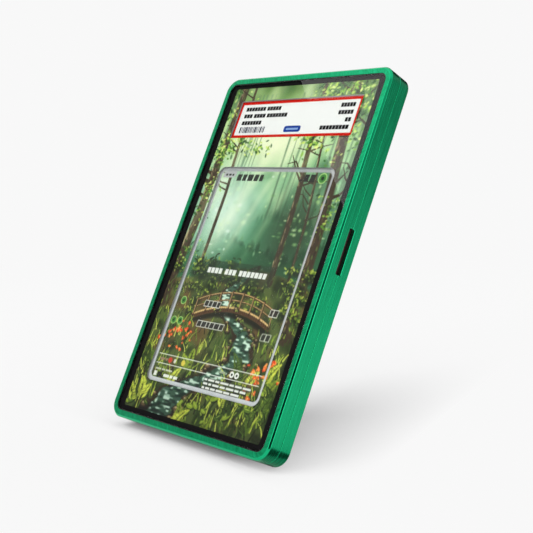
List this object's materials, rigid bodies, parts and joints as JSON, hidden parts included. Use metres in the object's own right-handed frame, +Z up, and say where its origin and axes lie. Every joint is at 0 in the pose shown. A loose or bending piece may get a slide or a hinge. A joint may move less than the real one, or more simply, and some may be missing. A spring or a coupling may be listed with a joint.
{
  "type": "trading card display case",
  "caption": "Slim metal display case for a graded trading card: framed window, printed surround, magnetic halves that part, and a fold-out rear leg.",
  "frame": {"origin": "on the floor, under the middle of the standing case's box", "axes": "+X to the right as the front is looked at, +Y towards the back, +Z up; the case leans back 25.5 degrees, so its front faces -Y and up"},
  "size_m": [0.089, 0.071, 0.134],
  "materials": {
    "green_aluminium": "fine brushed, green anodised, with a polished front chamfer",
    "clear_acrylic": "clear, polished",
    "black_film": "black print behind the window",
    "black_glue": "cured black glue bead",
    "tape": "thin double-sided adhesive tape",
    "printed_picture": "printed landscape sheet, semi-gloss",
    "magnet": "nickel-plated magnet",
    "clear_slab": "clear moulded plastic",
    "tray_plastic": "frosted plastic",
    "card_stock": "printed card with a silver border",
    "label_paper": "white paper label with a red border",
    "steel": "bright steel",
    "liner_foam": "soft black foam sheet",
    "black_block": "black anodised, matte",
    "foot_rubber": "matte rubber"
  },
  "bodies": {
    "rear_half": {"rear_frame": "green_aluminium", "rear_magnets": "magnet", "alignment_pins": "steel", "back_liner": "liner_foam", "back_panel": "green_aluminium", "back_screws": "steel", "hinge_block": "black_block", "hinge_screws": "steel", "hinge_pin": "steel"},
    "slab": {"slab_front_shell": "clear_slab", "slab_rear_shell": "clear_slab", "card_tray": "tray_plastic", "trading_card": "card_stock", "slab_label": "label_paper"},
    "front_half": {"front_frame": "green_aluminium", "window_panel": "clear_acrylic", "window_glue": "black_glue", "black_border": "black_film", "window_tape": "tape", "picture_sheet": "printed_picture", "front_magnets": "magnet"},
    "kickstand": {"kickstand_leg": "green_aluminium", "kickstand_foot": "foot_rubber"}
  },
  "joints": [
    {"name": "slab_lift", "type": "slide", "parent": "rear_half", "child": "slab", "axis": [0, -0.9026, 0.4305], "range_m": [0, 0.03]},
    {"name": "front_lift", "type": "slide", "parent": "slab", "child": "front_half", "axis": [0, -0.9026, 0.4305], "range_m": [0, 0.035]},
    {"name": "kickstand_hinge", "type": "hinge", "parent": "rear_half", "child": "kickstand", "pos_m": [0, 0.00012, 0.05809], "axis": [1, 0, 0], "range_deg": [-36.7, 0]}
  ]
}
